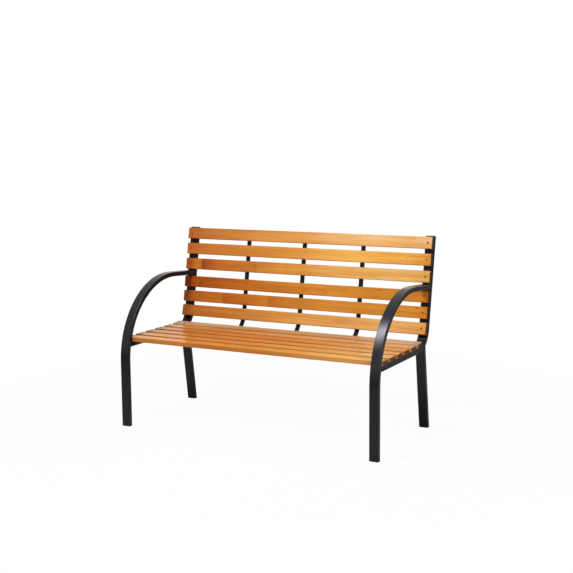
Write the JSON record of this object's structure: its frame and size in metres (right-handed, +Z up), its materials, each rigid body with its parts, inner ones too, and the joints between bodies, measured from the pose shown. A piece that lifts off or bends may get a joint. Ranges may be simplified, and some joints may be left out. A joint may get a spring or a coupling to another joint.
{
  "type": "garden bench",
  "caption": "Garden bench with bent black steel side frames, arched armrests and varnished wooden slats along the seat and the reclined back.",
  "frame": {"origin": "centre of the bounding box at ground level", "axes": "+Z up, +X along the bench to the right as seen from in front, -Y to the front of the seat"},
  "size_m": [1.22, 0.6154, 0.8128],
  "materials": {
    "frame_tube": "satin black powder coat",
    "support_bar": "satin black powder coat",
    "black_plastic": "matt black moulding",
    "bolt": "dark bronze plated",
    "nut": "zinc plated",
    "wood_screw": "zinc plated",
    "back_slat_1": "varnished softwood",
    "back_slat_2": "varnished softwood",
    "back_slat_3": "varnished softwood",
    "back_slat_4": "varnished softwood",
    "back_slat_5": "varnished softwood",
    "back_slat_6": "varnished softwood",
    "seat_slat_1": "varnished softwood",
    "seat_slat_2": "varnished softwood",
    "seat_slat_3": "varnished softwood",
    "seat_slat_4": "varnished softwood",
    "seat_slat_5": "varnished softwood",
    "seat_slat_6": "varnished softwood"
  },
  "bodies": {
    "root": {"left_leg_and_arm": "frame_tube", "right_leg_and_arm": "frame_tube", "left_rail_and_post": "frame_tube", "right_rail_and_post": "frame_tube", "left_rear_leg": "frame_tube", "right_rear_leg": "frame_tube", "left_weld_beads": "frame_tube", "right_weld_beads": "frame_tube", "left_middle_support": "support_bar", "centre_middle_support": "support_bar", "right_middle_support": "support_bar", "back_slat_1": "back_slat_1", "back_slat_2": "back_slat_2", "back_slat_3": "back_slat_3", "back_slat_4": "back_slat_4", "back_slat_5": "back_slat_5", "back_slat_6": "back_slat_6", "seat_slat_1": "seat_slat_1", "seat_slat_2": "seat_slat_2", "seat_slat_3": "seat_slat_3", "seat_slat_4": "seat_slat_4", "seat_slat_5": "seat_slat_5", "seat_slat_6": "seat_slat_6", "left_front_glide": "black_plastic", "right_front_glide": "black_plastic", "left_rear_glide": "black_plastic", "right_rear_glide": "black_plastic", "left_post_plug": "black_plastic", "right_post_plug": "black_plastic", "back_bolts": "bolt", "seat_bolts": "bolt", "back_nuts": "nut", "seat_nuts": "nut", "back_support_screws": "wood_screw", "seat_support_screws": "wood_screw"}
  },
  "joints": []
}
